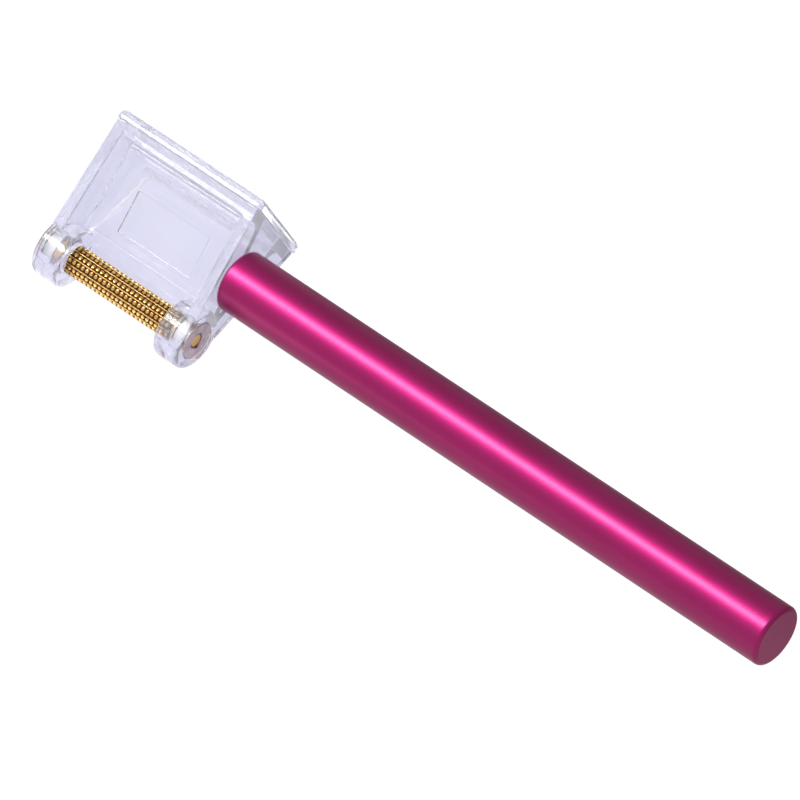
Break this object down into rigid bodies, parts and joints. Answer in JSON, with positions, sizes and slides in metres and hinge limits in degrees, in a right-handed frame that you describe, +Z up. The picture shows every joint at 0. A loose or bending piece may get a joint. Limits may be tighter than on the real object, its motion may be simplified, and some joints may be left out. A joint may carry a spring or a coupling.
{
  "type": "derma roller",
  "caption": "Hand-held derma roller: a gold needle roller turns between the arms of a clear wedge-shaped head, on a straight round metal handle parallel to the roller.",
  "frame": {"origin": "middle of the bounding box at the surface the tool lies on", "axes": "+X along the handle, from the head to the free end; +Y from the roller towards the head's cap; +Z up, out of the head's front, with the tool lying on its back on the two bosses and the cap's lower edge. The head's own middle plane, which holds the roller's axis, is turned 12.50 degrees about X from the XY plane."},
  "size_m": [0.1606, 0.0338, 0.0224],
  "materials": {
    "clear_plastic": "clear polished, faint lavender tint",
    "anodised_magenta": "satin anodised",
    "gold_plate": "bright gold plate",
    "brass": "turned",
    "washer_steel": "turned, concentric marks",
    "natural_nylon": "natural"
  },
  "bodies": {
    "tool": {"head_body": "clear_plastic", "head_cap": "clear_plastic", "handle_bar": "anodised_magenta", "bush_left": "natural_nylon", "bush_right": "natural_nylon", "washer_left": "washer_steel", "washer_right": "washer_steel"},
    "roller": {"roller_core": "brass", "axle_pin": "brass", "end_ring_left": "brass", "end_ring_right": "brass", "needle_strip_01": "gold_plate", "needle_strip_02": "gold_plate", "needle_strip_03": "gold_plate", "needle_strip_04": "gold_plate", "needle_strip_05": "gold_plate", "needle_strip_06": "gold_plate", "needle_strip_07": "gold_plate", "needle_strip_08": "gold_plate", "needle_strip_09": "gold_plate", "needle_strip_10": "gold_plate", "needle_strip_11": "gold_plate", "needle_strip_12": "gold_plate"}
  },
  "joints": [
    {"name": "roller_spin", "type": "hinge", "parent": "tool", "child": "roller", "pos_m": [-0.06292, -0.01103, 0.00585], "axis": [1, 0, 0], "continuous": true}
  ]
}
